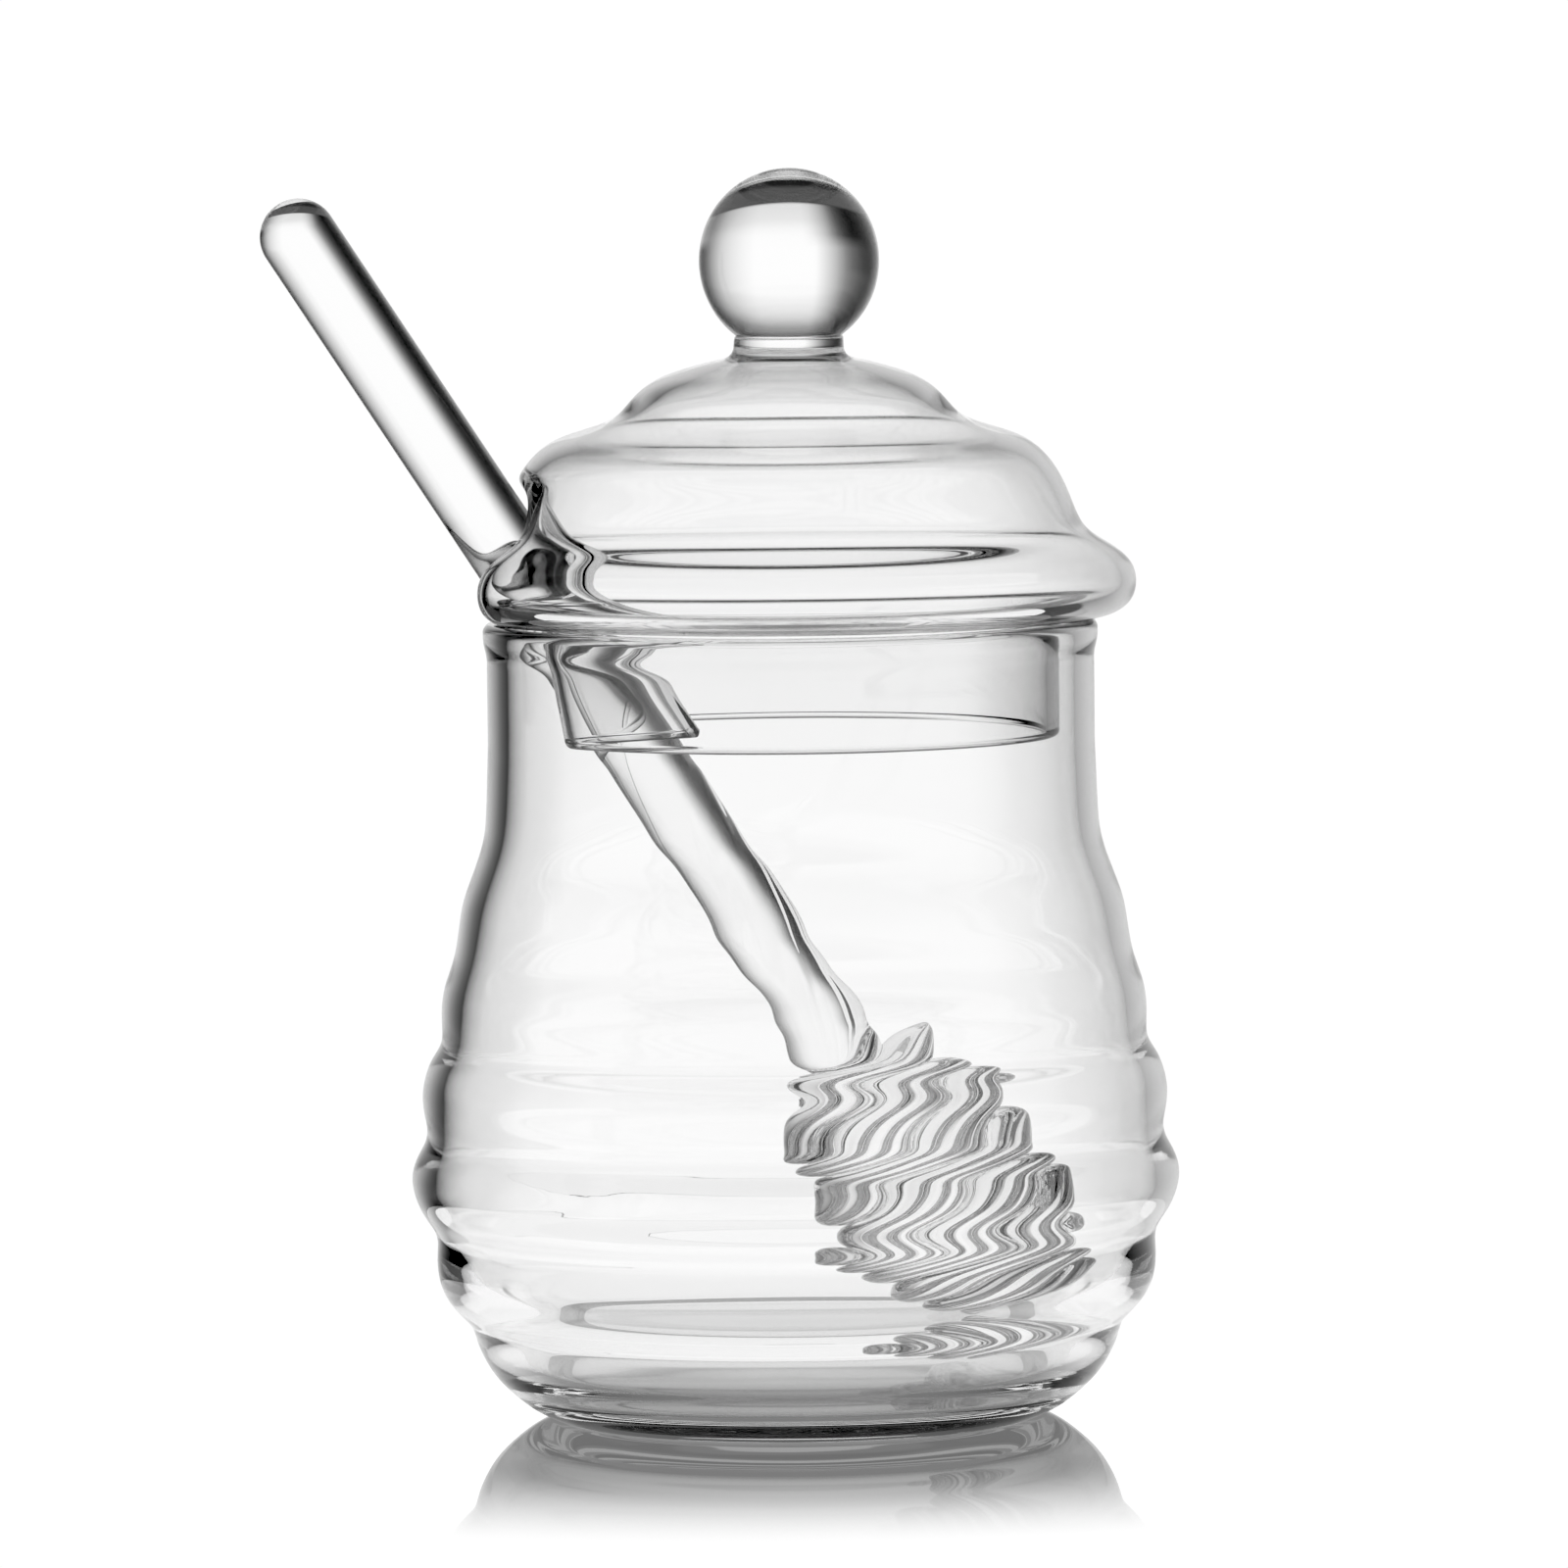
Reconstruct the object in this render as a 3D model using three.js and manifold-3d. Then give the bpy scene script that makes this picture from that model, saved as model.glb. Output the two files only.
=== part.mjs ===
// Glass honey dispenser jar: ribbed jar, domed lid with a ball knob and a
// notched skirt, and a glass dipper leaning in the jar. Millimetres, +Z up,
// the jar standing on Z = 0 with its axis on the Z axis.
import * as THREE from 'three';
import { mergeVertices } from 'three/addons/utils/BufferGeometryUtils.js';
import Module from 'manifold-3d';

// ---- jar -------------------------------------------------------------
const JAR_SIDES = 36;            // facets round the jar
const JAR_WALL = 2.25;           // wall of the neck and the upper body
const FOOT_WALL = 2.8;           // wall low down, where the glass gathers
const FOOT_WALL_TOP_Z = 20;      // height where the wall starts to thicken
const FLOOR_THICK = 3.6;         // glass under the inside floor
const BASE_R = 27.5;             // flat face it stands on
const NECK_R = 34.05;
const BEAD_R = 34.5;             // rolled bead at the rim
const BEAD_H = 3.0;
const RIM_TOP_Z = 89.35;
const RIM_EDGE = 0.9;            // rounding of the rim's two edges
const INNER_SOFT = 1.3;          // how far the inside smooths the outside's ribs
// heights of the rows of points on the inside
const INNER_Z = [5.9, 8, 10.5, 13.5, 17, 20.5, 24, 27.5, 31, 35, 39.5, 44, 50, 57, 65];
// outside of the body: [height, radius] of the foot, hollows, ribs and shoulder
const BODY = [
  [1.05, 29.8], [2.6, 31.9], [4.6, 33.95], [6.8, 35.3], [9.4, 36.25],
  [10.5, 36.85], [12.6, 38.8], [15.0, 40.05], [18.0, 40.5], [19.8, 40.35],
  [22.0, 41.2], [24.3, 42.6], [26.9, 43.15], [29.3, 42.45], [32.4, 41.35],
  [34.0, 41.6], [35.7, 41.86], [38.2, 41.45], [41.2, 40.2], [43.9, 39.55],
  [46.2, 39.6], [48.6, 39.15], [52.2, 38.05], [55.8, 37.45], [58.6, 36.8],
  [63.2, 35.15], [67.5, 34.4], [75.5, NECK_R],
];

// ---- lid -------------------------------------------------------------
const LID_SIDES = 36;
const LID_WALL = 1.4;
const BALL_R = 10.1;
const BALL_HALF_H = 10.35;       // the knob is a little taller than round
const BALL_Z = 129.65;
const BALL_SHIFT = 0.3;          // the knob stands this far off the lid's axis
const STEM_R = 6.15;             // narrowest place under the ball
const STEM_Z = 120.3;
const CAVITY_TOP_Z = 118.0;      // top of the dome's hollow, under the stem
const SKIRT_R = 30.1;
const SKIRT_END_Z = 76.4;
const FLANGE_REST_Z = 89.7;      // underside that sits on the rim
// outside of the dome and the rolled flange, from the stem down
const DOME = [
  [118.45, 8.5], [117.5, 12.0], [116.4, 14.8], [114.9, 16.9], [113.0, 18.6],
  [111.8, 20.3], [110.6, 23.8], [109.4, 26.8], [107.4, 29.1], [104.6, 30.85],
  [101.9, 31.95], [99.8, 33.0], [98.5, 34.4], [97.1, 36.6], [95.4, 38.35],
  [93.5, 38.85], [91.6, 38.4], [90.3, 37.0],
];
const UNDER_FLANGE_R = 34.6;     // where the flat underside begins
const NOTCH_GAP = 1.2;           // space between the dipper and the notch
const NOTCH_FLAT = 0.12;         // share of the notch's half angle kept deep
const NOTCH_HALF_TOP = 28;       // half angle of the notch at the flange, degrees
const NOTCH_HALF_END = 38;       // the same at the lower end of the skirt
const NOTCH_BLEND = 0.9;

// ---- dipper ----------------------------------------------------------
const ROD_R = 4.37;
const ROD_LEAN = 33.0;           // degrees from upright, top towards -X
const ROD_CROSS_X = -26.8;       // where the rod's centre line crosses
const ROD_CROSS_Z = 90.1;        //   the height of the rim
const ROD_TIP_Z = 132.8;         // centre of the rounded top end
const HEAD_LENGTH = 37.1;
const HEAD_END_Z = 8.7;          // centre of the head's lower end
const COIL_PITCH = 5.08;
const COIL_DEPTH = 3.4;          // depth of the groove between two turns
const COIL_PHASE = 0.774;        // where round the rod the coil starts, in turns
const COIL_SIDES = 20;
const COIL_ROWS = 6;             // rows of points in one turn
// outside radius of the turns along the head, from its upper end
const HEAD_BARREL = [[0, 9.2], [3.5, 10.9], [8.5, 12.5], [15, 13.4], [20, 13.7], [26, 13.1], [31, 12.0], [37.1, 10.2]];

const rad = (deg) => (deg * Math.PI) / 180;
const clamp = (v, a, b) => Math.min(b, Math.max(a, v));
const smooth = (t) => { const u = clamp(t, 0, 1); return u * u * (3 - 2 * u); };

// smooth curve through [x, y] knots, as y over x (monotone cubic)
function curveThrough(knots) {
  const x = knots.map((k) => k[0]);
  const y = knots.map((k) => k[1]);
  const n = x.length;
  const h = [], d = [], m = new Array(n).fill(0);
  for (let i = 0; i < n - 1; i++) { h.push(x[i + 1] - x[i]); d.push((y[i + 1] - y[i]) / h[i]); }
  m[0] = d[0];
  m[n - 1] = d[n - 2];
  for (let i = 1; i < n - 1; i++) {
    if (d[i - 1] * d[i] > 0) {
      const a = 2 * h[i] + h[i - 1];
      const b = h[i] + 2 * h[i - 1];
      m[i] = (a + b) / (a / d[i - 1] + b / d[i]);
    }
  }
  return (v) => {
    const t = clamp(v, x[0], x[n - 1]);
    let i = 0;
    while (i < n - 2 && t > x[i + 1]) i++;
    const s = (t - x[i]) / h[i];
    const a = 2 * s ** 3 - 3 * s ** 2 + 1, b = s ** 3 - 2 * s ** 2 + s;
    const c = -2 * s ** 3 + 3 * s ** 2, e = s ** 3 - s ** 2;
    return a * y[i] + b * h[i] * m[i] + c * y[i + 1] + e * h[i] * m[i + 1];
  };
}

// move a profile sideways by its wall, to the left of its direction
function offsetProfile(points, wallAt) {
  return points.map((p, i) => {
    const a = points[Math.max(0, i - 1)];
    const b = points[Math.min(points.length - 1, i + 1)];
    const d = b.clone().sub(a).normalize();
    const w = wallAt(p);
    return new THREE.Vector2(p.x - d.y * w, p.y + d.x * w);
  });
}

// the outline's radius at a height, as a Gaussian average over nearby heights
function softened(points, sigma) {
  const radiusAt = (z) => {
    if (z < 4) return BASE_R + ((33.3 - BASE_R) * Math.max(0, z)) / 4;
    let i = 0;
    while (i < points.length - 2 && z > points[i + 1].y) i++;
    const t = clamp((z - points[i].y) / (points[i + 1].y - points[i].y), 0, 1);
    return points[i].x + t * (points[i + 1].x - points[i].x);
  };
  return (z) => {
    let sum = 0, weight = 0;
    for (let d = -4 * sigma; d <= 4 * sigma; d += 0.25) {
      const w = Math.exp(-0.5 * (d / sigma) ** 2);
      sum += w * radiusAt(z + d);
      weight += w;
    }
    return sum / weight;
  };
}

function arc(cx, cy, r, from, to, steps) {
  const out = [];
  for (let i = 0; i <= steps; i++) {
    const a = rad(from + ((to - from) * i) / steps);
    out.push(new THREE.Vector2(cx + r * Math.cos(a), cy + r * Math.sin(a)));
  }
  return out;
}

function lathe(points, sides) {
  const g = new THREE.LatheGeometry(points, sides);
  g.rotateX(Math.PI / 2);
  return g;
}

// rod line: x of its centre at a height
const rodX = (z) => ROD_CROSS_X + Math.tan(rad(ROD_LEAN)) * (ROD_CROSS_Z - z);

function closedMesh(wasm, geometry) {
  const g = geometry.index ? geometry.toNonIndexed() : geometry.clone();
  g.deleteAttribute('normal');
  g.deleteAttribute('uv');
  const m = mergeVertices(g, 1e-4);
  const idx = m.index.array;
  const keep = [];
  for (let i = 0; i < idx.length; i += 3) {
    if (idx[i] !== idx[i + 1] && idx[i + 1] !== idx[i + 2] && idx[i] !== idx[i + 2]) keep.push(idx[i], idx[i + 1], idx[i + 2]);
  }
  const solid = new wasm.Manifold(new wasm.Mesh({
    numProp: 3,
    vertProperties: new Float32Array(m.attributes.position.array),
    triVerts: new Uint32Array(keep),
  }));
  if (solid.volume() <= 0) throw new Error('solid turned inside out');
  return solid;
}

function toGeometry(solid) {
  const mesh = solid.getMesh();
  const g = new THREE.BufferGeometry();
  g.setAttribute('position', new THREE.BufferAttribute(new Float32Array(mesh.vertProperties), 3));
  g.setIndex(new THREE.BufferAttribute(new Uint32Array(mesh.triVerts), 1));
  g.computeVertexNormals();
  return g;
}

function glass(name) {
  const m = new THREE.MeshStandardMaterial({ color: 0xe9ecec, roughness: 0.05, metalness: 0.0 });
  m.name = name;
  m.transparent = true;
  m.opacity = 0.45;
  return m;
}

// ---- jar: one closed profile, outside up, over the rim, inside down ---
function jarProfile() {
  const bodyPts = [[0, BASE_R], ...BODY].map(([z, r]) => new THREE.Vector2(r, z));
  const outer = [...bodyPts];
  const beadLow = RIM_TOP_Z - BEAD_H;
  outer.push(new THREE.Vector2(NECK_R, beadLow - 0.5));
  outer.push(new THREE.Vector2(BEAD_R - 0.1, beadLow + 0.45));
  outer.push(new THREE.Vector2(BEAD_R, beadLow + BEAD_H / 2));
  const inR = NECK_R - JAR_WALL;
  const rimOut = arc(BEAD_R - RIM_EDGE, RIM_TOP_Z - RIM_EDGE, RIM_EDGE, 0, 90, 2);
  const rimIn = arc(inR + RIM_EDGE, RIM_TOP_Z - RIM_EDGE, RIM_EDGE, 90, 180, 2);
  const wallAt = (p) => JAR_WALL + (FOOT_WALL - JAR_WALL) * smooth((FOOT_WALL_TOP_Z - p.y) / 8);
  // the inside doesn't take the ribs fully: it is the outline, softened, less the wall
  const soft = softened(bodyPts, INNER_SOFT);
  const inner = offsetProfile(INNER_Z.map((z) => new THREE.Vector2(soft(z), z)), wallAt)
    .filter((p) => p.y > FLOOR_THICK + 1.9)
    .reverse();
  inner.unshift(new THREE.Vector2(inR, RIM_TOP_Z - BEAD_H - 1));
  const last = inner[inner.length - 1];
  const corner = [
    new THREE.Vector2(last.x - 1.3, FLOOR_THICK + 0.75),
    new THREE.Vector2(last.x - 3.4, FLOOR_THICK + 0.12),
    new THREE.Vector2(last.x - 5.4, FLOOR_THICK),
  ];
  return [new THREE.Vector2(0, 0), ...outer, ...rimOut, ...rimIn, ...inner, ...corner, new THREE.Vector2(0, FLOOR_THICK)];
}

// ---- lid: ball, stem and dome outside, then the hollow inside ---------
function lidProfile() {
  const stemStart = Math.asin((STEM_R + 0.2) / BALL_R);
  const ball = arc(0, BALL_Z, BALL_R, 90, -90 + (stemStart * 180) / Math.PI, 7);
  for (const p of ball) p.y = BALL_Z + ((p.y - BALL_Z) * BALL_HALF_H) / BALL_R;
  const outer = [];
  for (const p of ball) outer.push(p);
  outer[0].x = 0;
  outer.push(new THREE.Vector2(STEM_R, STEM_Z + 0.3));
  outer.push(new THREE.Vector2(STEM_R + 0.03, STEM_Z - 0.5));
  outer.push(new THREE.Vector2(STEM_R + 0.9, STEM_Z - 1.5));
  const dome = DOME.map(([z, r]) => new THREE.Vector2(r, z));
  dome.push(new THREE.Vector2(UNDER_FLANGE_R, FLANGE_REST_Z));
  dome.push(new THREE.Vector2(SKIRT_R + 1.3, FLANGE_REST_Z - 0.05));
  dome.push(new THREE.Vector2(SKIRT_R + 0.3, FLANGE_REST_Z - 1.0));
  dome.push(new THREE.Vector2(SKIRT_R, FLANGE_REST_Z - 2.6));
  const skirtRows = [0.35, 0.68].map((f) => FLANGE_REST_Z - 2.6 + f * (SKIRT_END_Z + 2.0 - FLANGE_REST_Z));
  for (const z of skirtRows) dome.push(new THREE.Vector2(SKIRT_R, z));
  const lip = arc(SKIRT_R - LID_WALL / 2, SKIRT_END_Z + LID_WALL / 2, LID_WALL / 2, 0, -180, 3);
  const hollow = offsetProfile(dome, () => -LID_WALL)
    .filter((p, i) => p.y < CAVITY_TOP_Z - 1.0 && i % 3 !== 2)
    .reverse();
  return {
    outer: [...outer, ...dome],
    lip,
    inner: [...hollow, new THREE.Vector2(5.2, CAVITY_TOP_Z - 0.25), new THREE.Vector2(0, CAVITY_TOP_Z)],
  };
}

// pressed notch: the wall follows the dipper's slope where the dipper passes
function notched(x, y, z, inside) {
  const r = Math.hypot(x, y);
  if (z > 108) return [x + BALL_SHIFT * smooth((z - 114) / 12), y, z];
  if (r < 1e-6) return [x, y, z];
  const phi = Math.abs(Math.atan2(y, -x));
  const half = rad(NOTCH_HALF_END + (NOTCH_HALF_TOP - NOTCH_HALF_END) * clamp((z - SKIRT_END_Z) / (91 - SKIRT_END_Z), 0, 1));
  const t = phi / half;
  if (t >= 1) return [x, y, z];
  const w = 1 - smooth((t - NOTCH_FLAT) / (1 - NOTCH_FLAT));
  const slope = Math.cos(rad(ROD_LEAN));
  const limit = -rodX(z) - ROD_R / slope - NOTCH_GAP - (inside ? LID_WALL / slope : 0);
  const k = NOTCH_BLEND;
  const h = clamp(0.5 + (0.5 * (limit - r)) / k, 0, 1);
  const low = limit * (1 - h) + r * h - k * h * (1 - h);
  const out = r + (Math.min(low, r) - r) * w;
  return [(x * out) / r, (y * out) / r, z];
}

function lidGeometry() {
  const { outer, lip, inner } = lidProfile();
  const points = [...outer, ...lip, ...inner].reverse();
  const innerRows = inner.length + 2;
  const g = lathe(points, LID_SIDES);
  const pos = g.attributes.position;
  const rows = points.length;
  for (let i = 0; i < pos.count; i++) {
    const row = i % rows;
    const p = notched(pos.getX(i), pos.getY(i), pos.getZ(i), row < innerRows);
    pos.setXYZ(i, p[0], p[1], p[2]);
  }
  return g;
}

// ---- dipper: rod with rounded end, head with turns of coiled glass ----
function dipperGeometry() {
  const lean = rad(ROD_LEAN);
  const tip = new THREE.Vector3(rodX(ROD_TIP_Z), 0, ROD_TIP_Z);
  const end = new THREE.Vector3(rodX(HEAD_END_Z), 0, HEAD_END_Z);
  const length = tip.distanceTo(end);
  const headFrom = length - HEAD_LENGTH;
  const barrel = curveThrough(HEAD_BARREL);
  // rings of points along the rod, s measured from the tip centre
  const rings = [];
  for (let i = 1; i <= 3; i++) {
    const a = (i / 3) * (Math.PI / 2);
    rings.push({ s: -ROD_R * Math.cos(a), r: () => ROD_R * Math.sin(a) });
  }
  for (let i = 1; i <= 2; i++) rings.push({ s: (headFrom - 0.8) * (i / 2), r: () => ROD_R });
  const turns = HEAD_LENGTH / COIL_PITCH;
  const rows = Math.round(turns * COIL_ROWS);
  for (let i = 0; i <= rows; i++) {
    const u = (i / rows) * HEAD_LENGTH;
    const grow = smooth((u + 0.3) / 1.8) * smooth((HEAD_LENGTH - u + 1.6) / 2.2);
    rings.push({
      s: headFrom + u,
      r: (theta) => {
        const phase = u / COIL_PITCH + theta / (2 * Math.PI) + COIL_PHASE;
        const f = Math.abs(phase + 0.5 - Math.floor(phase + 0.5) - 0.5) * 2;   // 0 on a crest, 1 in the groove
        const crest = Math.sqrt(clamp(1 - f * f, 0, 1));
        const out = barrel(u);
        const inn = Math.max(ROD_R, out - COIL_DEPTH);
        return ROD_R + (inn + (out - inn) * crest - ROD_R) * grow;
      },
    });
  }
  const n = COIL_SIDES;
  const verts = [];
  const idx = [];
  const place = (s, r, theta) => {
    const a = r * Math.cos(theta), b = r * Math.sin(theta);
    // along the rod: (sin, 0, -cos); across it: (cos, 0, sin) and (0, 1, 0)
    return [
      tip.x + s * Math.sin(lean) + a * Math.cos(lean),
      b,
      tip.z - s * Math.cos(lean) + a * Math.sin(lean),
    ];
  };
  verts.push(place(-ROD_R, 0, 0));
  for (const ring of rings) {
    for (let j = 0; j < n; j++) {
      const theta = (j / n) * 2 * Math.PI;
      verts.push(place(ring.s, ring.r(theta), theta));
    }
  }
  verts.push(place(rings[rings.length - 1].s, 0, 0));
  const at = (i, j) => 1 + i * n + (j % n);
  for (let j = 0; j < n; j++) idx.push(0, at(0, j), at(0, j + 1));
  for (let i = 0; i < rings.length - 1; i++) {
    for (let j = 0; j < n; j++) {
      idx.push(at(i, j), at(i + 1, j), at(i, j + 1));
      idx.push(at(i, j + 1), at(i + 1, j), at(i + 1, j + 1));
    }
  }
  const lastCentre = verts.length - 1;
  for (let j = 0; j < n; j++) idx.push(at(rings.length - 1, j), lastCentre, at(rings.length - 1, j + 1));
  const g = new THREE.BufferGeometry();
  g.setAttribute('position', new THREE.BufferAttribute(new Float32Array(verts.flat()), 3));
  g.setIndex(idx);
  return g;
}

const wasm = await Module();
wasm.setup();

function node(name, geometry) {
  const solid = closedMesh(wasm, geometry);
  const mesh = new THREE.Mesh(toGeometry(solid), glass(`${name}_glass`));
  mesh.name = name;
  return mesh;
}

const group = new THREE.Group();
group.name = 'honey_dispenser_jar';
group.add(node('jar', lathe(jarProfile(), JAR_SIDES)));
group.add(node('lid', lidGeometry()));
group.add(node('dipper', dipperGeometry()));

export default group;
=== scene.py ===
import math

import bpy
import numpy as np
from mathutils import Matrix, Vector


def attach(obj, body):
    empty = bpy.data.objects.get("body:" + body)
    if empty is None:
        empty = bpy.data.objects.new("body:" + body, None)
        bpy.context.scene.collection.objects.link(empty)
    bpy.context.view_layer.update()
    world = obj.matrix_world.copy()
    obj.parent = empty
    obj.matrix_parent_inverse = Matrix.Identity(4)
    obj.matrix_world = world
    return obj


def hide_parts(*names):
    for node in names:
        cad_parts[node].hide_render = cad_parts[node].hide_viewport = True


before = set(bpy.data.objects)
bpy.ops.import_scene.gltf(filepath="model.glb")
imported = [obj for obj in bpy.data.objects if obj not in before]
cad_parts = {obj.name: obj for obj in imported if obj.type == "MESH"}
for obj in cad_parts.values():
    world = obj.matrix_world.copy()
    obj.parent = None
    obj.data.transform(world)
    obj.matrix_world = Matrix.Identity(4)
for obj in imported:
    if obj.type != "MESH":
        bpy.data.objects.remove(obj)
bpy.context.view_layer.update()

MM = 0.001

# ---------------------------------------------------------------- sizes, mm
# jar
JAR_SIDES = 288
JAR_WALL = 2.25
FOOT_WALL = 2.8
FOOT_WALL_TOP_Z = 20.0
FLOOR_THICK = 3.6
INNER_SOFT = 1.3
BASE_R = 27.5
NECK_R = 34.05
BEAD_R = 34.5
BEAD_H = 3.0
RIM_TOP_Z = 89.35
RIM_EDGE = 1.1
BODY = [
    (1.05, 29.8), (2.6, 31.9), (4.6, 33.95), (6.8, 35.35), (8.5, 36.07),
    (9.8, 36.42), (10.4, 36.66), (11.5, 37.76), (13.0, 39.06), (14.5, 39.89),
    (16.0, 40.29), (17.75, 40.43), (19.3, 40.34), (20.1, 40.35), (21.1, 40.64),
    (22.2, 41.38), (23.5, 42.2), (25.0, 42.82), (26.9, 43.15), (28.5, 42.85),
    (30.0, 42.12), (31.0, 41.58), (32.0, 41.37), (32.6, 41.35), (33.7, 41.57),
    (35.7, 41.86), (37.5, 41.72), (39.2, 41.26), (40.4, 40.7), (41.3, 40.1),
    (42.1, 39.68), (42.8, 39.56), (44.4, 39.59), (46.0, 39.6), (48.0, 39.34),
    (49.5, 38.9), (51.5, 38.22), (53.2, 37.84), (55.8, 37.45), (57.6, 37.14),
    (59.5, 36.55), (62.0, 35.6), (65.0, 34.68), (67.5, 34.37), (71.5, 34.2), (75.5, NECK_R),
]
# lid
LID_SIDES = 320
LID_WALL = 1.4
BALL_R = 10.1
BALL_HALF_H = 10.35
BALL_Z = 129.65
BALL_SHIFT = 0.3
STEM_R = 6.15
STEM_Z = 120.3
CAVITY_TOP_Z = 118.0
CAVITY_EDGE_R = 5.2
CAVITY_DROP = 0.25
SKIRT_R = 30.1
SKIRT_END_Z = 76.4
FLANGE_REST_Z = 89.7
UNDER_FLANGE_R = 34.6
DOME = [
    (118.45, 8.5), (117.5, 12.0), (116.4, 14.8), (114.9, 16.9), (113.0, 18.6),
    (111.8, 20.3), (110.6, 23.8), (109.4, 26.8), (107.4, 29.1), (104.6, 30.85),
    (101.9, 31.95), (99.8, 33.0), (98.5, 34.4), (97.1, 36.6), (95.4, 38.35),
    (93.5, 38.85), (91.6, 38.4), (90.3, 37.0),
]
NOTCH_GAP = 1.2
NOTCH_FLAT = 0.12
NOTCH_HALF_TOP = 28.0
NOTCH_HALF_END = 38.0
NOTCH_BLEND = 0.9
# dipper
ROD_R = 4.35
ROD_LEAN = 33.0
ROD_CROSS_X = -26.8
ROD_CROSS_Z = 90.1
ROD_TIP_Z = 132.8
HEAD_LENGTH = 37.1
HEAD_END_Z = 8.7
COIL_PITCH = 5.08
COIL_DEPTH = 3.4
COIL_PHASE = 0.774
HEAD_BARREL = [(0, 9.2), (3.5, 10.9), (8.5, 12.5), (15, 13.4), (20, 13.7), (26, 13.1), (31, 12.0), (37.1, 10.2)]

rng = np.random.default_rng(11)


def smooth(t):
    t = np.clip(t, 0.0, 1.0)
    return t * t * (3 - 2 * t)


# ---------------------------------------------------------------- profiles
def spline(points, count):
    """Dense smooth curve through 2-D points, as a natural cubic over chord length."""
    p = np.array(points, float)
    d = np.sqrt(np.hypot(*np.diff(p, axis=0).T))
    t = np.concatenate([[0], np.cumsum(d)])
    n = len(t)
    h = np.diff(t)
    out = []
    tt = np.linspace(0, t[-1], count)
    for c in range(2):
        y = p[:, c]
        a = np.zeros((n, n))
        b = np.zeros(n)
        a[0, 0] = a[-1, -1] = 1
        for i in range(1, n - 1):
            a[i, i - 1] = h[i - 1]
            a[i, i] = 2 * (h[i - 1] + h[i])
            a[i, i + 1] = h[i]
            b[i] = 3 * ((y[i + 1] - y[i]) / h[i] - (y[i] - y[i - 1]) / h[i - 1])
        m = np.linalg.solve(a, b)
        i = np.clip(np.searchsorted(t, tt, side="right") - 1, 0, n - 2)
        s = tt - t[i]
        bb = (y[i + 1] - y[i]) / h[i] - h[i] * (2 * m[i] + m[i + 1]) / 3
        out.append(y[i] + bb * s + m[i] * s**2 + (m[i + 1] - m[i]) / (3 * h[i]) * s**3)
    return np.stack(out, 1)


def even(points, step):
    """The same line with points every step of its length."""
    p = np.array(points, float)
    d = np.hypot(*np.diff(p, axis=0).T)
    keep = np.concatenate([[True], d > 1e-6])
    p = p[keep]
    t = np.concatenate([[0], np.cumsum(np.hypot(*np.diff(p, axis=0).T))])
    n = max(2, int(round(t[-1] / step)) + 1)
    s = np.linspace(0, t[-1], n)
    return np.stack([np.interp(s, t, p[:, 0]), np.interp(s, t, p[:, 1])], 1)


def soften(points, passes, closed_ends=True):
    p = np.array(points, float)
    for _ in range(passes):
        q = p.copy()
        q[1:-1] = 0.25 * p[:-2] + 0.5 * p[1:-1] + 0.25 * p[2:]
        p = q
    return p


def offset(points, wall):
    p = np.array(points, float)
    d = np.gradient(p, axis=0)
    d /= np.hypot(d[:, 0], d[:, 1])[:, None]
    w = wall(p) if callable(wall) else wall
    return np.stack([p[:, 0] - d[:, 1] * w, p[:, 1] + d[:, 0] * w], 1)


def arc(cx, cy, r, a0, a1, n):
    a = np.radians(np.linspace(a0, a1, n))
    return np.stack([cx + r * np.cos(a), cy + r * np.sin(a)], 1)


# ---------------------------------------------------------------- meshes
def make_mesh(name, verts, faces):
    me = bpy.data.meshes.new(name)
    verts = np.asarray(verts, float)
    a = verts[[f[0] for f in faces]]
    b = verts[[f[1] for f in faces]]
    c = verts[[f[2] for f in faces]]
    d = verts[[f[-1] for f in faces]]
    volume = float((a * (np.cross(b, c) + np.cross(c, d))).sum())
    if volume < 0:
        faces = [f[::-1] for f in faces]
    me.from_pydata([tuple(v) for v in verts], [], faces)
    me.validate()
    me.polygons.foreach_set("use_smooth", [True] * len(me.polygons))
    me.update()
    ob = bpy.data.objects.new(name, me)
    bpy.context.scene.collection.objects.link(ob)
    return ob


def grid_faces(rows, n, first_pole, last_pole):
    """Quads between rings of n points; ring 0 starts at vertex 1 when there is a pole."""
    base = 1 if first_pole else 0
    faces = []
    for i in range(rows - 1):
        a = base + i * n
        b = a + n
        for j in range(n):
            k = (j + 1) % n
            faces.append((a + j, a + k, b + k, b + j))
    if first_pole:
        for j in range(n):
            faces.append((0, base + (j + 1) % n, base + j))
    if last_pole:
        a = base + (rows - 1) * n
        tip = a + n
        for j in range(n):
            faces.append((a + j, a + (j + 1) % n, tip))
    return faces


def lathe(name, profile, sides, shape=None):
    """A closed profile from axis to axis, turned about Z. shape moves the rings' points."""
    p = np.array(profile, float)
    inner = p[1:-1]
    th = np.linspace(0, 2 * np.pi, sides, endpoint=False)
    x = inner[:, None, 0] * np.cos(th)[None]
    y = inner[:, None, 0] * np.sin(th)[None]
    z = np.repeat(inner[:, None, 1], sides, 1)
    if shape is not None:
        x, y, z = shape(x, y, z)
    v = np.stack([x, y, z], 2).reshape(-1, 3)
    ends = v.reshape(len(inner), sides, 3)[[0, -1]].mean(1)
    v = np.vstack([[ends[0, 0], 0, p[0, 1]], v, [ends[1, 0], 0, p[-1, 1]]]) * MM
    return make_mesh(name, v, grid_faces(len(inner), sides, True, True))


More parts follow.
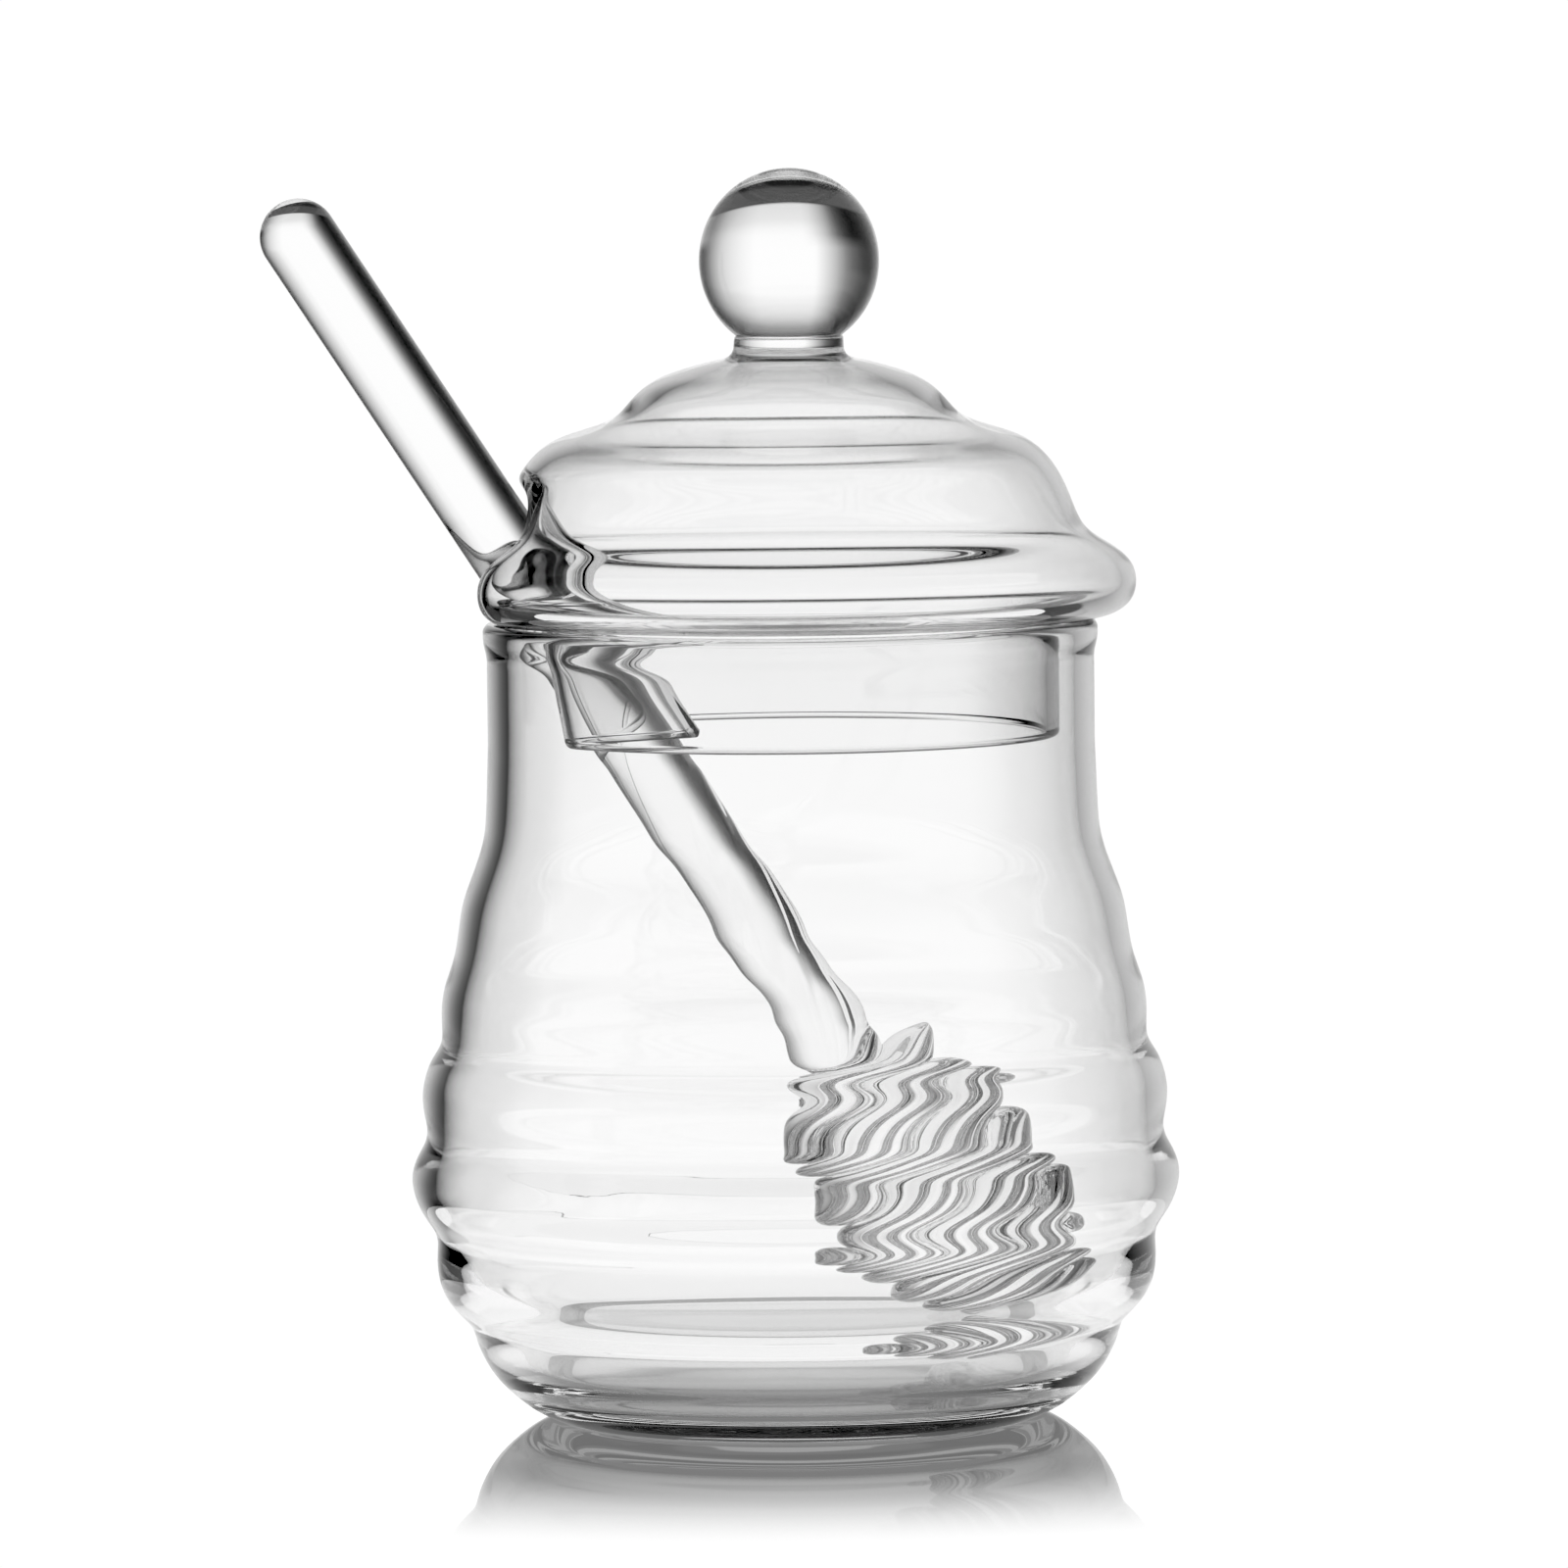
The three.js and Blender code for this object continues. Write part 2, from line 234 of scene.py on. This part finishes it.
# ---------------------------------------------------------------- jar
def jar_profile():
    body = spline([(r, z) for z, r in [(0.0, BASE_R)] + BODY], 900)
    body = even(body, 0.32)
    bead_low = RIM_TOP_Z - BEAD_H
    neck = spline([(NECK_R, 75.5), (NECK_R, 80.0), (NECK_R, bead_low - 1.4), (NECK_R + 0.04, bead_low - 0.5),
                   (BEAD_R - 0.12, bead_low + 0.45), (BEAD_R, bead_low + BEAD_H / 2),
                   (BEAD_R - 0.02, RIM_TOP_Z - RIM_EDGE)], 120)
    outer = np.vstack([body[:-1], neck])
    outer = soften(even(outer, 0.3), 6)
    in_r = NECK_R - JAR_WALL
    rim_out = arc(BEAD_R - RIM_EDGE, RIM_TOP_Z - RIM_EDGE, RIM_EDGE, 0, 90, 9)
    rim_in = arc(in_r + RIM_EDGE, RIM_TOP_Z - RIM_EDGE, RIM_EDGE, 90, 180, 9)

    def wall(p):
        return JAR_WALL + (FOOT_WALL - JAR_WALL) * smooth((FOOT_WALL_TOP_Z - p[:, 1]) / 8)

    # the inside doesn't take the mould's ribs fully: it is the outline, softened, less the wall
    zz = np.arange(-6.0, 95.0, 0.25)
    rr = np.interp(zz, outer[:, 1], outer[:, 0])
    low = np.interp(zz, [0.0, 4.0], [BASE_R, 33.3])
    rr = np.where(zz < 4.0, low, rr)
    kern = np.exp(-0.5 * (np.arange(-20, 21) * 0.25 / INNER_SOFT) ** 2)
    soft_r = np.convolve(np.pad(rr, 20, mode="edge"), kern / kern.sum(), mode="valid")
    line = even(np.stack([soft_r, zz], 1)[(zz > 2.0) & (zz < 79.0)], 0.3)
    inside = offset(line, wall)
    inside = inside[inside[:, 1] > FLOOR_THICK + 1.9][::-1]
    last = inside[-1]
    inside = np.vstack([[in_r, RIM_TOP_Z - RIM_EDGE - 0.4], [in_r, RIM_TOP_Z - 6], [in_r, 79.0], inside])
    corner = spline([tuple(inside[-6]), tuple(last), (last[0] - 1.3, FLOOR_THICK + 0.75), (last[0] - 3.4, FLOOR_THICK + 0.12),
                     (last[0] - 5.4, FLOOR_THICK), (last[0] - 8.0, FLOOR_THICK)], 60)
    inside = np.vstack([inside[:-6], corner])
    inside = soften(even(inside, 0.3), 5)
    floor = np.array([[inside[-1][0] * (1 - i / 24), FLOOR_THICK] for i in range(1, 25)])
    base = np.array([[BASE_R * i / 24, 0.0] for i in range(0, 24)])
    return np.vstack([base, outer, rim_out[1:], rim_in, inside, floor])


# ---------------------------------------------------------------- lid
def rod_x(z):
    return ROD_CROSS_X + math.tan(math.radians(ROD_LEAN)) * (ROD_CROSS_Z - z)


def lid_profile():
    ball_end = math.degrees(math.asin((STEM_R + 0.2) / BALL_R)) - 90
    ball = arc(0, BALL_Z, BALL_R, 90, ball_end - 3, 90)
    ball[:, 1] = BALL_Z + (ball[:, 1] - BALL_Z) * BALL_HALF_H / BALL_R
    dome_pts = [(STEM_R + 0.05, STEM_Z + 0.9), (STEM_R, STEM_Z + 0.3), (STEM_R + 0.03, STEM_Z - 0.5), (STEM_R + 0.3, STEM_Z - 1.15),
                (STEM_R + 0.9, STEM_Z - 1.5)] + [(r, z) for z, r in DOME]
    dome_pts += [(UNDER_FLANGE_R, FLANGE_REST_Z), (SKIRT_R + 1.3, FLANGE_REST_Z - 0.05), (SKIRT_R + 0.3, FLANGE_REST_Z - 1.0),
                 (SKIRT_R, FLANGE_REST_Z - 2.6), (SKIRT_R, FLANGE_REST_Z - 6.0), (SKIRT_R, SKIRT_END_Z + 5.0), (SKIRT_R, SKIRT_END_Z + LID_WALL / 2)]
    dome = even(spline(dome_pts, 1400), 0.26)
    dome = soften(dome, 3)
    outer = np.vstack([ball, soften(even(np.vstack([ball[-3:], dome[1:6]]), 0.26), 3)[3:], dome[6:]])
    lip = arc(SKIRT_R - LID_WALL / 2, SKIRT_END_Z + LID_WALL / 2, LID_WALL / 2, 0, -180, 15)
    hollow = offset(soften(dome, 50), -LID_WALL)
    hollow = hollow[(hollow[:, 1] < CAVITY_TOP_Z - 1.0) & (hollow[:, 1] > SKIRT_END_Z + LID_WALL / 2)][::-1]
    top = spline([tuple(hollow[-1]), (CAVITY_EDGE_R, CAVITY_TOP_Z - CAVITY_DROP), (CAVITY_EDGE_R / 2, CAVITY_TOP_Z - CAVITY_DROP / 5), (0, CAVITY_TOP_Z)], 40)
    hollow = soften(even(hollow, 0.28), 4)
    return outer, lip, np.vstack([hollow, top[1:]])


def notch_shape(inside_rows):
    slope = math.cos(math.radians(ROD_LEAN))

    def shape(x, y, z):
        r = np.hypot(x, y)
        phi = np.abs(np.arctan2(y, -x))
        half = np.radians(NOTCH_HALF_END + (NOTCH_HALF_TOP - NOTCH_HALF_END) * np.clip((z - SKIRT_END_Z) / (91 - SKIRT_END_Z), 0, 1))
        w = 1 - smooth((phi / half - NOTCH_FLAT) / (1 - NOTCH_FLAT))
        w[z > 108] = 0
        limit = -rod_x(z) - ROD_R / slope - NOTCH_GAP - (inside_rows[:, None] * LID_WALL / slope)
        h = np.clip(0.5 + 0.5 * (limit - r) / NOTCH_BLEND, 0, 1)
        low = limit * (1 - h) + r * h - NOTCH_BLEND * h * (1 - h)
        out = r + (np.minimum(low, r) - r) * w
        k = out / np.maximum(r, 1e-9)
        return x * k + BALL_SHIFT * smooth((z - 114) / 12), y * k, z

    return shape


# ---------------------------------------------------------------- dipper
def dipper():
    lean = math.radians(ROD_LEAN)
    tip = np.array([rod_x(ROD_TIP_Z), 0, ROD_TIP_Z])
    end = np.array([rod_x(HEAD_END_Z), 0, HEAD_END_Z])
    length = float(np.linalg.norm(tip - end))
    head = length - HEAD_LENGTH
    bx, br = zip(*HEAD_BARREL)
    barrel_pts = spline(list(HEAD_BARREL), 300)
    n = 112
    th = np.linspace(0, 2 * np.pi, n, endpoint=False)
    s_list, r_list = [], []
    for i in range(1, 25):
        a = (i / 24) * math.pi / 2
        s_list.append(-ROD_R * math.cos(a))
        r_list.append(np.full(n, ROD_R * math.sin(a)))
    for i in range(1, 90):
        s_list.append((head - 0.6) * i / 90)
        r_list.append(np.full(n, ROD_R))
    rows = int(HEAD_LENGTH / COIL_PITCH * 44)
    for i in range(rows + 1):
        u = i / rows * HEAD_LENGTH
        grow = smooth((u + 0.3) / 1.8) * smooth((HEAD_LENGTH - u + 1.6) / 2.2)
        out = np.interp(u, barrel_pts[:, 0], barrel_pts[:, 1])
        inn = max(ROD_R, out - COIL_DEPTH)
        phase = (u / COIL_PITCH + th / (2 * np.pi)) + COIL_PHASE
        f = np.abs((phase + 0.5) % 1.0 - 0.5) * 2          # 0 on a turn's crest, 1 in the groove
        crest = np.sqrt(np.clip(1 - f**2, 0, 1))
        s_list.append(head + u)
        r_list.append(ROD_R + (inn + (out - inn) * crest - ROD_R) * grow)
    # rounded edge and a flat lower end
    last_r = r_list[-1]
    for i in range(1, 7):
        s_list.append(head + HEAD_LENGTH)
        r_list.append(last_r * (1 - i / 7))
    s = np.array(s_list)[:, None]
    r = np.stack(r_list)
    a, b = r * np.cos(th), r * np.sin(th)
    x = tip[0] + s * math.sin(lean) + a * math.cos(lean)
    z = tip[2] - s * math.cos(lean) + a * math.sin(lean)
    v = np.stack([x, b, z], 2).reshape(-1, 3)
    p0 = [tip[0] - ROD_R * math.sin(lean), 0, tip[2] + ROD_R * math.cos(lean)]
    v = np.vstack([p0, v, end]) * MM
    return make_mesh("honey_dipper", v, grid_faces(len(s_list), n, True, True))


# ---------------------------------------------------------------- material
def glass(name, tint, wave_scale, wave_strength):
    m = bpy.data.materials.new(name)
    m.use_nodes = True
    nt = m.node_tree
    nt.nodes.clear()
    out = nt.nodes.new("ShaderNodeOutputMaterial")
    p = nt.nodes.new("ShaderNodeBsdfPrincipled")
    p.inputs["Base Color"].default_value = tint
    p.inputs["Roughness"].default_value = 0.0
    p.inputs["IOR"].default_value = 1.474
    p.inputs["Transmission Weight"].default_value = 1.0
    tc = nt.nodes.new("ShaderNodeTexCoord")
    no = nt.nodes.new("ShaderNodeTexNoise")
    no.inputs["Scale"].default_value = wave_scale
    no.inputs["Detail"].default_value = 1.5
    no.inputs["Roughness"].default_value = 0.45
    bu = nt.nodes.new("ShaderNodeBump")
    bu.inputs["Strength"].default_value = wave_strength
    bu.inputs["Distance"].default_value = 0.001
    nt.links.new(tc.outputs["Object"], no.inputs["Vector"])
    nt.links.new(no.outputs["Fac"], bu.inputs["Height"])
    nt.links.new(bu.outputs["Normal"], p.inputs["Normal"])
    nt.links.new(p.outputs["BSDF"], out.inputs["Surface"])
    return m


jar = lathe("honey_jar", jar_profile(), JAR_SIDES)
outer, lip, hollow = lid_profile()
lid_pts = np.vstack([outer, lip, hollow])
inside_rows = np.zeros(len(lid_pts))
inside_rows[len(outer) + 8:] = 1.0
inside_rows[len(outer):len(outer) + 15] = np.linspace(0, 1, 15)
lid = lathe("jar_lid", lid_pts, LID_SIDES, notch_shape(inside_rows[1:-1]))
dip = dipper()
for ob, mat, node in (
    (jar, glass("clear_glass_jar", (0.989, 0.989, 0.989, 1), 38.0, 0.05), "jar"),
    (lid, glass("clear_glass_lid", (0.989, 0.989, 0.989, 1), 45.0, 0.05), "lid"),
    (dip, glass("clear_glass_rod", (0.989, 0.989, 0.989, 1), 60.0, 0.03), "dipper"),
):
    ob.data.materials.append(mat)
    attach(ob, "root")
    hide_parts(node)

# ---------------------------------------------------------------- studio
BLACK_POINT = 0.035
TABLE_R = 0.115
# painted shade on the table under the jar, seen through the glass: (y, glow) stops
TABLE_UNDER_SHADE = [(-0.05, 0.24), (-0.020, 0.24), (-0.014, 0.27), (-0.007, 0.45), (0.002, 0.74), (0.014, 0.85), (0.022, 0.9), (0.03, 0.97), (0.05, 0.97)]
TABLE_NEAR_R = 0.032
TABLE_FAR_R = 0.042
# painted contact shadow: a dimmed ring round the foot on the table, seen through the glass
FOOT_SHADOW_R = 0.0285
FOOT_SHADOW = 0.35
BOUNCE_KEEP = 0.7
FIRST_KEEP = 0.75
MIRROR_KEEP = 0.33
# painted shade: the glow the table keeps where it mirrors itself through the glass
MIRROR_TWICE = 0.22


def ramp(nt, stops, lo, hi, source):
    """A smooth lookup of value over a range, from (input, value) stops."""
    mr = nt.nodes.new("ShaderNodeMapRange")
    mr.inputs["From Min"].default_value = lo
    mr.inputs["From Max"].default_value = hi
    nt.links.new(source, mr.inputs["Value"])
    cr = nt.nodes.new("ShaderNodeValToRGB")
    cr.color_ramp.interpolation = "LINEAR"
    e = cr.color_ramp.elements
    while len(e) > 1:
        e.remove(e[-1])
    first = True
    for x, v in stops:
        t = (x - lo) / (hi - lo)
        if first:
            e[0].position = t
            k = e[0]
            first = False
        else:
            k = e.new(t)
        k.color = (v, v, v, 1)
    nt.links.new(mr.outputs["Result"], cr.inputs["Fac"])
    return cr.outputs["Color"]


def math_node(nt, op, a, b=None, c=None):
    n = nt.nodes.new("ShaderNodeMath")
    n.operation = op
    for i, v in enumerate((a, b, c)):
        if v is None:
            continue
        if isinstance(v, (int, float)):
            n.inputs[i].default_value = v
        else:
            nt.links.new(v, n.inputs[i])
    return n.outputs[0]


def build_world():
    w = bpy.data.worlds.new("studio")
    bpy.context.scene.world = w
    w.use_nodes = True
    nt = w.node_tree
    nt.nodes.clear()
    tc = nt.nodes.new("ShaderNodeTexCoord")
    sep = nt.nodes.new("ShaderNodeSeparateXYZ")
    nt.links.new(tc.outputs["Generated"], sep.inputs[0])
    az = math_node(nt, "MULTIPLY", math_node(nt, "ARCTAN2", sep.outputs["X"], sep.outputs["Y"]), 57.29578)
    el = math_node(nt, "MULTIPLY", math_node(nt, "ARCSINE", sep.outputs["Z"]), 57.29578)
    round_high = ramp(nt, [(-180, 0.8), (-100, 0.85), (-84, 0.8), (-74, 0.05), (-60, 0.03), (-52, 0.03), (-44, 0.058), (-37.5, 0.1),
                           (-32.3, 0.157), (-27.7, 0.245), (-24, 0.39), (-20.7, 0.55), (-17.5, 0.70), (-14.5, 0.84), (-11, 1.0),
                           (15, 1.0), (21.3, 0.92), (28.4, 0.80), (33, 0.71), (38.5, 0.6), (45.6, 0.41), (52, 0.24), (60, 0.10), (70, 0.03),
                           (92, 0.04), (108, 0.75), (135, 0.85), (180, 0.8)], -180, 180, az)
    round_low = ramp(nt, [(-180, 0.85), (-84, 0.8), (-70, 0.05), (-40, 0.02), (-34, 0.02), (-27.7, 0.07),
                          (-24, 0.14), (-20.7, 0.28), (-17.5, 0.5), (-14.5, 0.68), (-10, 0.9), (-6, 1.0),
                          (15, 1.0), (21.3, 0.92), (28.4, 0.80), (33, 0.71), (38.5, 0.6), (45.6, 0.41), (54, 0.3), (66, 0.4), (84, 0.8),
                          (180, 0.85)], -180, 180, az)
    swap = ramp(nt, [(-13, 0.0), (-7, 1.0)], -90, 90, el)
    mix = math_node(nt, "ADD", math_node(nt, "MULTIPLY", round_high, swap),
                    math_node(nt, "MULTIPLY", round_low, math_node(nt, "SUBTRACT", 1.0, swap)))
    up = ramp(nt, [(-29.5, 0.0), (-28.0, 0.78), (-24, 0.8), (-19.4, 0.84), (-15, 0.96), (-12, 1.0), (12, 1.0), (15, 0.92), (19.4, 0.84),
                   (24, 0.72), (29.4, 0.5), (32.4, 0.36), (36.4, 0.26), (41, 0.17), (46, 0.04), (52, 0.0)], -90, 90, el)
    under = ramp(nt, [(-90, 0.3), (-68, 0.29), (-59, 0.2), (-52, 0.05), (-45, 0.05), (-41, 0.11), (-30, 0.12), (-28, 0.0), (40, 0.0), (55, 0.03), (90, 0.05)],
                 -90, 90, el)
    level = math_node(nt, "ADD", math_node(nt, "MULTIPLY", math_node(nt, "MULTIPLY", mix, up), 1.03), under)
    # the studio in front is dim: light that has been reflected on its way is weaker
    lp = nt.nodes.new("ShaderNodeLightPath")
    bounced = math_node(nt, "MAXIMUM", math_node(nt, "POWER", BOUNCE_KEEP, lp.outputs["Glossy Depth"]), 0.12)
    first = math_node(nt, "MULTIPLY", math_node(nt, "COMPARE", lp.outputs["Glossy Depth"], 1.0, 0.1),
                      math_node(nt, "COMPARE", lp.outputs["Transmission Depth"], 0.0, 0.1))
    low_sky = math_node(nt, "MULTIPLY", math_node(nt, "COMPARE", az, 0.0, 5.5), math_node(nt, "COMPARE", el, 6.0, 5.0))
    plain = math_node(nt, "MULTIPLY", first, low_sky)
    dim = math_node(nt, "MULTIPLY", bounced, math_node(nt, "SUBTRACT", 1.0, math_node(nt, "MULTIPLY", first, 1.0 - FIRST_KEEP / BOUNCE_KEEP)))
    dim = math_node(nt, "MAXIMUM", dim, plain)
    # what the table mirrors through the glass is fainter still
    in_table = math_node(nt, "MULTIPLY", math_node(nt, "GREATER_THAN", lp.outputs["Transparent Depth"], 0.5),
                         math_node(nt, "GREATER_THAN", lp.outputs["Transmission Depth"], 0.5))
    dim = math_node(nt, "MULTIPLY", dim, math_node(nt, "SUBTRACT", 1.0, math_node(nt, "MULTIPLY", in_table, 1.0 - MIRROR_KEEP)))
    level = math_node(nt, "MULTIPLY", level, dim)
    seen = nt.nodes.new("ShaderNodeMix")
    seen.data_type = "FLOAT"
    nt.links.new(lp.outputs["Is Camera Ray"], seen.inputs["Factor"])
    nt.links.new(level, seen.inputs[2])
    seen.inputs[3].default_value = 1.02
    bg = nt.nodes.new("ShaderNodeBackground")
    bg.inputs["Color"].default_value = (1, 1, 1, 1)
    nt.links.new(seen.outputs[0], bg.inputs["Strength"])
    out = nt.nodes.new("ShaderNodeOutputWorld")
    nt.links.new(bg.outputs[0], out.inputs["Surface"])


def build_floor():
    """A white table. Straight from the camera it fades from a mirror by the jar to plain white. What the glass shows of
    it is painted shade: grey under the jar, and white further off."""
    me = bpy.data.meshes.new("studio_floor")
    ring = [(TABLE_R * math.cos(k * math.pi / 64), TABLE_R * math.sin(k * math.pi / 64), -0.0002) for k in range(128)]
    me.from_pydata(ring, [], [tuple(range(128))])
    ob = bpy.data.objects.new("studio_floor", me)
    bpy.context.scene.collection.objects.link(ob)
    m = bpy.data.materials.new("studio_floor")
    m.use_nodes = True
    nt = m.node_tree
    nt.nodes.clear()
    geo = nt.nodes.new("ShaderNodeNewGeometry")
    ln = nt.nodes.new("ShaderNodeVectorMath")
    ln.operation = "LENGTH"
    nt.links.new(geo.outputs["Position"], ln.inputs[0])

    def range_node(lo, hi, a, b):
        r = nt.nodes.new("ShaderNodeMapRange")
        r.interpolation_type = "SMOOTHSTEP"
        r.inputs["From Min"].default_value = lo
        r.inputs["From Max"].default_value = hi
        r.inputs["To Min"].default_value = a
        r.inputs["To Max"].default_value = b
        nt.links.new(ln.outputs["Value"], r.inputs["Value"])
        return r.outputs["Result"]

    def emission(strength):
        e = nt.nodes.new("ShaderNodeEmission")
        e.inputs["Color"].default_value = (1, 1, 1, 1)
        if isinstance(strength, float):
            e.inputs["Strength"].default_value = strength
        else:
            nt.links.new(strength, e.inputs["Strength"])
        return e.outputs[0]

    def mirror(rough, level):
        g = nt.nodes.new("ShaderNodeBsdfGlossy")
        g.inputs["Color"].default_value = (level, level, level, 1)
        g.inputs["Roughness"].default_value = rough
        return g.outputs[0]

    def mix(fac, a, b):
        x = nt.nodes.new("ShaderNodeMixShader")
        nt.links.new(fac, x.inputs[0])
        nt.links.new(a, x.inputs[1])
        nt.links.new(b, x.inputs[2])
        return x.outputs[0]

    # straight view
    add = nt.nodes.new("ShaderNodeAddShader")
    nt.links.new(emission(0.18), add.inputs[0])
    nt.links.new(mirror(0.02, 0.95), add.inputs[1])
    direct = mix(range_node(0.052, 0.112, 0.0, 1.0), add.outputs[0], emission(1.02))
    # through the glass: painted shade, darker towards the front under the jar, with a painted contact shadow round the
    # foot
    sep = nt.nodes.new("ShaderNodeSeparateXYZ")
    nt.links.new(geo.outputs["Position"], sep.inputs[0])
    painted_shade_under_jar = ramp(nt, TABLE_UNDER_SHADE, -0.05, 0.05, sep.outputs["Y"])
    # painted contact shadow ring round the foot
    foot = math_node(nt, "COMPARE", ln.outputs["Value"], FOOT_SHADOW_R, 0.0022)
    painted_shade_under_jar = math_node(nt, "MINIMUM", painted_shade_under_jar, math_node(nt, "SUBTRACT", 1.0, math_node(nt, "MULTIPLY", foot, 1.0 - FOOT_SHADOW)))
    # painted shade: what the table mirrors of itself through the glass is fainter
    lp = nt.nodes.new("ShaderNodeLightPath")
    twice = math_node(nt, "GREATER_THAN", lp.outputs["Transparent Depth"], 2.5)
    # the painted shade gives way to white further off, between TABLE_NEAR_R and TABLE_FAR_R
    level = math_node(nt, "MAXIMUM", painted_shade_under_jar, range_node(TABLE_NEAR_R, TABLE_FAR_R, 0.0, 0.97))
    fainter = math_node(nt, "SUBTRACT", 1.0, math_node(nt, "MULTIPLY", twice, 1.0 - MIRROR_TWICE))
    seen = emission(math_node(nt, "MULTIPLY", level, fainter))
    out = nt.nodes.new("ShaderNodeOutputMaterial")
    nt.links.new(mix(lp.outputs["Is Camera Ray"], seen, direct), out.inputs["Surface"])
    ob.data.materials.append(m)

    # a clear film on the table, so that the studio knows a mirrored view and the table can dim it with painted shade
    film = bpy.data.meshes.new("studio_film")
    film.from_pydata([(x, y, -0.0001) for x, y, z in ring], [], [tuple(range(128))])
    fo = bpy.data.objects.new("studio_film", film)
    bpy.context.scene.collection.objects.link(fo)
    fm = bpy.data.materials.new("studio_film")
    fm.use_nodes = True
    ft = fm.node_tree
    ft.nodes.clear()
    clear = ft.nodes.new("ShaderNodeBsdfTransparent")
    fout = ft.nodes.new("ShaderNodeOutputMaterial")
    ft.links.new(clear.outputs[0], fout.inputs["Surface"])
    fo.data.materials.append(fm)


build_world()
build_floor()

scene = bpy.context.scene
scene.view_settings.view_transform = "Standard"
scene.view_settings.use_curve_mapping = True
scene.view_settings.curve_mapping.black_level = (BLACK_POINT, BLACK_POINT, BLACK_POINT)
scene.view_settings.curve_mapping.update()
scene.cycles.max_bounces = 32
scene.cycles.transmission_bounces = 32
scene.cycles.glossy_bounces = 24
scene.cycles.diffuse_bounces = 2
scene.cycles.caustics_refractive = True
scene.cycles.caustics_reflective = True
scene.cycles.blur_glossy = 0.0

# camera: long lens, a little above the lid, rolled by half a degree
CAM_DIST, CAM_HEIGHT = 1.400, 0.177
AIM = Vector((-0.00087, 0.0, 0.0709))
ROLL = 0.6
eye = Vector((AIM.x, -CAM_DIST, CAM_HEIGHT))
back = (eye - AIM).normalized()
upv = Vector((math.sin(math.radians(ROLL)), 0, math.cos(math.radians(ROLL))))
right = upv.cross(back).normalized()
up = back.cross(right)
cam_data = bpy.data.cameras.new("camera")
cam_data.sensor_width = 36.0
cam_data.lens = 36.0 * (eye - AIM).length / 0.176
cam_data.clip_start = 0.05
cam_data.clip_end = 50.0
cam = bpy.data.objects.new("camera", cam_data)
cam.matrix_world = Matrix.Translation(eye) @ Matrix((right, up, back)).transposed().to_4x4()
scene.collection.objects.link(cam)
scene.camera = cam
